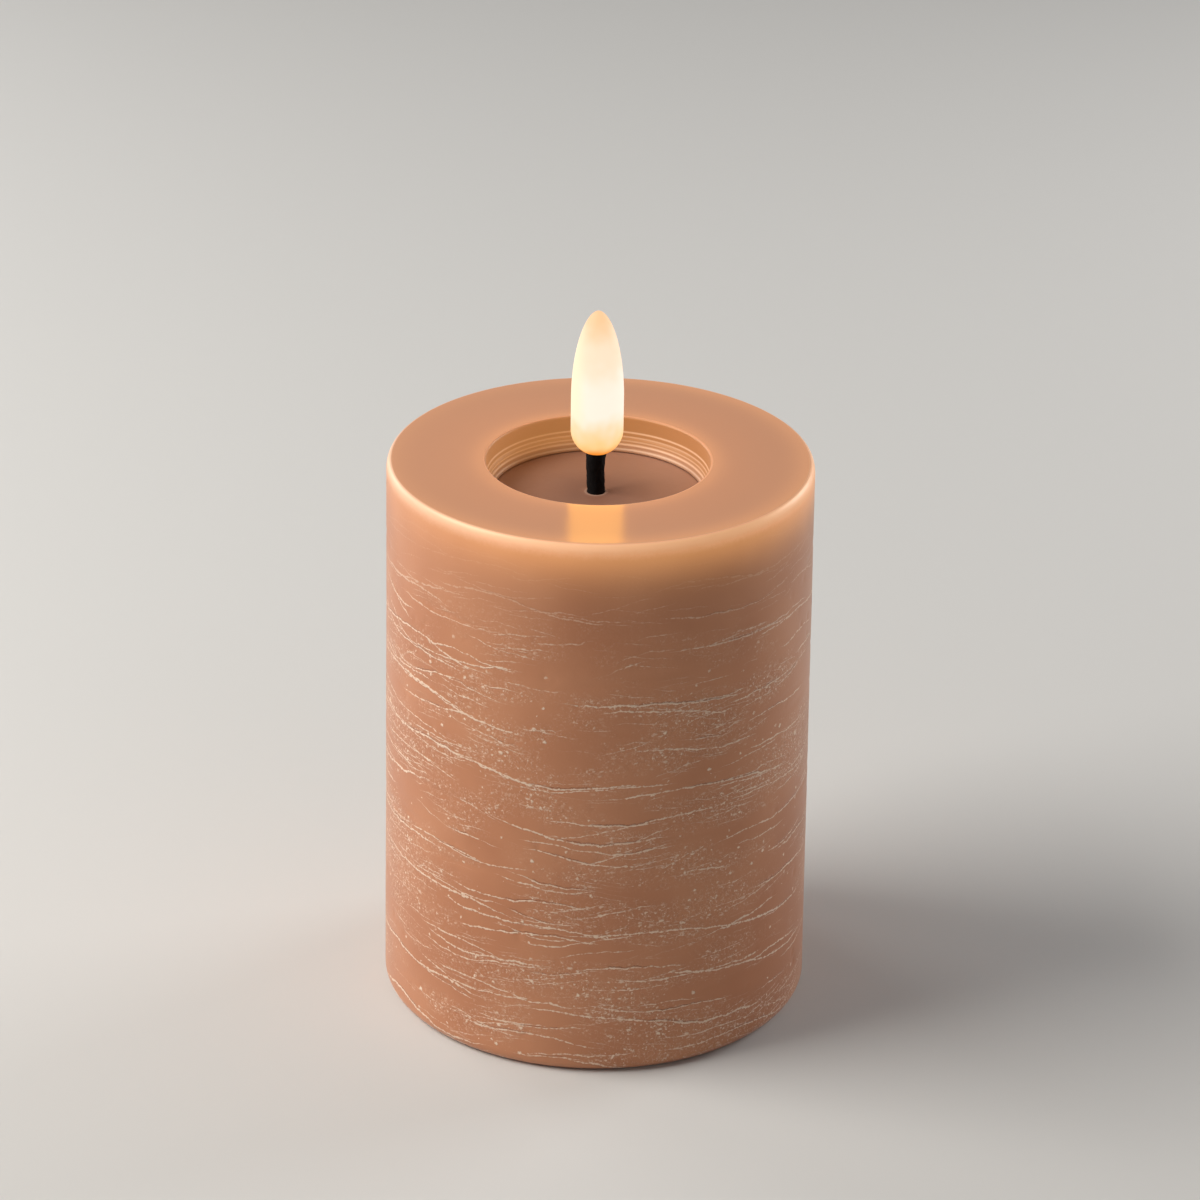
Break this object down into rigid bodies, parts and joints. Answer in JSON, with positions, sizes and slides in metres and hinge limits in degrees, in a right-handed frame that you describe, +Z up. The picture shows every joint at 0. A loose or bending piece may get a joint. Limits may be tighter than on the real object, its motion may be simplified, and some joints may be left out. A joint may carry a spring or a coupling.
{
  "type": "led pillar candle",
  "caption": "Battery lit pillar candle of real wax with a flame on a black wick in a round well, a hinged battery door and a slide switch underneath.",
  "frame": {"origin": "centre of the candle's round foot, on the surface that it stands on", "axes": "+Z up through the flame, +Y away from the viewer of the picture, +X to the viewer's right, along the battery door"},
  "size_m": [0.0758, 0.0758, 0.1282],
  "materials": {
    "wax": "satin apricot brown wax, streaked and pitted on the side",
    "wax_floor": "smooth satin wax",
    "flame": "translucent warm white silicone, lit from inside",
    "wick_black": "matte black, textured",
    "holder_plastic": "matte",
    "housing_plastic": "matte ivory, moulded",
    "slider_plastic": "matte black",
    "switch_plastic": "matte dark brown",
    "spring_steel": "nickel plated",
    "cell_metal": "bright drawn can",
    "cell_label_a": "gloss shrink sleeve, plain",
    "cell_label_b": "gloss shrink sleeve, plain",
    "board_green": "satin solder mask",
    "led_white": "white package with a yellow lens",
    "chip_black": "matte moulded",
    "can_metal": "bright",
    "screw_metal": "zinc plated",
    "wire_red": "smooth insulation",
    "wire_black": "smooth insulation"
  },
  "bodies": {
    "candle": {"wax_shell": "wax", "wax_pool": "wax_floor", "flame_holder": "holder_plastic", "wick": "wick_black", "flame_shell": "flame", "led_board": "board_green", "led_chip": "led_white", "lamp_wire_red": "wire_red", "lamp_wire_black": "wire_black", "base_housing": "housing_plastic", "cell_a_can": "cell_metal", "cell_a_sleeve": "cell_label_a", "cell_b_can": "cell_metal", "cell_b_sleeve": "cell_label_b", "link_plate": "spring_steel", "link_spring": "spring_steel", "positive_plate": "spring_steel", "negative_plate": "spring_steel", "negative_spring": "spring_steel", "battery_wire_red": "wire_red", "battery_wire_black": "wire_black", "circuit_board": "board_green", "board_screws": "screw_metal", "timer_chip": "chip_black", "timer_crystal": "can_metal", "board_resistors": "chip_black", "board_capacitor": "can_metal", "switch_frame": "screw_metal", "switch_base": "switch_plastic"},
    "door": {"battery_door": "housing_plastic"},
    "slider": {"switch_slider": "slider_plastic"}
  },
  "joints": [
    {"name": "door_hinge", "type": "hinge", "parent": "candle", "child": "door", "pos_m": [-0.0255, 0, 0.0024], "axis": [0, 1, 0], "range_deg": [0, 95]},
    {"name": "switch_slide", "type": "slide", "parent": "candle", "child": "slider", "axis": [1, 0, 0], "range_m": [0, 0.004]}
  ]
}
